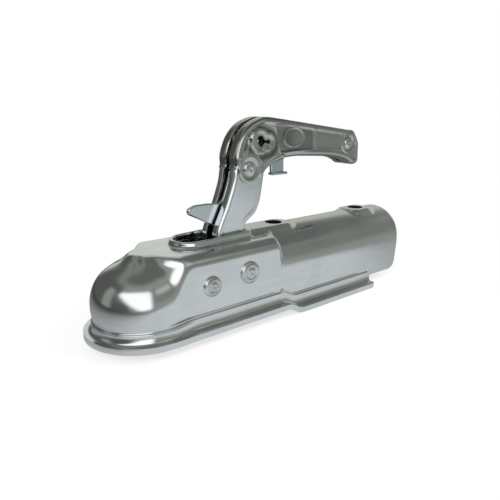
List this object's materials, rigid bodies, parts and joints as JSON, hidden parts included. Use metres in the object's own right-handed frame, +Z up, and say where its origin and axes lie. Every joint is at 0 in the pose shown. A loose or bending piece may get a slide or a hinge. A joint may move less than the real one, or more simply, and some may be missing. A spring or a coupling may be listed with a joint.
{
  "type": "trailer coupling head",
  "caption": "Pressed steel coupling head for a towing ball, bolted over a round drawbar tube, with a hand lever, catch and sprung ball jaw.",
  "frame": {"origin": "on the towing ball's vertical axis, at the underside of the front flange", "axes": "+X from the ball towards the drawbar, +Y to the left, +Z up"},
  "size_m": [0.2861, 0.0774, 0.1438],
  "materials": {
    "zinc_housing": "bright zinc plated pressed steel",
    "zinc_leg": "satin zinc plated sheet",
    "zinc_catch": "satin zinc plated plate",
    "nickel_grip": "darker bright plated pressed shells",
    "rivet_steel": "turned and peened zinc plated steel",
    "spacer_steel": "plain zinc plated steel",
    "hardened_steel": "phosphated forged steel",
    "spring_steel": "oiled spring wire",
    "bronze": "sintered bronze"
  },
  "bodies": {
    "housing": {"housing_shell": "zinc_housing", "ball_cup": "hardened_steel", "jaw_rivet": "rivet_steel", "lever_rivet": "rivet_steel", "jaw_spacer_left": "spacer_steel", "jaw_spacer_right": "spacer_steel", "lever_spacer_left": "spacer_steel", "lever_spacer_right": "spacer_steel", "closing_spring_left": "spring_steel", "closing_spring_right": "spring_steel"},
    "lever": {"leg_shell_left": "zinc_leg", "leg_shell_right": "zinc_leg", "lever_bush": "bronze", "lever_link_pin": "rivet_steel", "grip_shell_left": "nickel_grip", "grip_shell_right": "nickel_grip", "grip_spacer": "spacer_steel", "top_rivet": "rivet_steel", "end_rivet": "rivet_steel", "catch_spring": "spring_steel"},
    "jaw": {"ball_jaw": "hardened_steel", "jaw_link_pin": "rivet_steel"},
    "link": {"pull_link_left": "spacer_steel", "pull_link_right": "spacer_steel"},
    "catch": {"catch_lever": "zinc_catch"}
  },
  "joints": [
    {"name": "lever_swing", "type": "hinge", "parent": "housing", "child": "lever", "pos_m": [0.068, 0, 0.034], "axis": [0, -1, 0], "range_deg": [0, 40], "stiffness_Nm_per_rad": 0.8, "springref_deg": -28.65, "deforming": ["closing_spring_left", "closing_spring_right"]},
    {"name": "jaw_swing", "type": "hinge", "parent": "housing", "child": "jaw", "pos_m": [0.036, 0, 0.031], "axis": [0, -1, 0], "range_deg": [0, 20]},
    {"name": "link_swing", "type": "hinge", "parent": "lever", "child": "link", "pos_m": [0.07103, 0, 0.02354], "axis": [0, -1, 0], "range_deg": [-42.6, 0]},
    {"name": "catch_swing", "type": "hinge", "parent": "lever", "child": "catch", "pos_m": [0.0836, 0, 0.1023], "axis": [0, -1, 0], "range_deg": [0, 14], "deforming": ["catch_spring"]}
  ],
  "couplings": [
    {"joint": "jaw_swing", "follows": "lever_swing", "ratio": 0.5},
    {"joint": "link_swing", "follows": "lever_swing", "ratio": -1.062},
    {"joint": "catch_swing", "follows": "lever_swing", "ratio": 0.35}
  ]
}
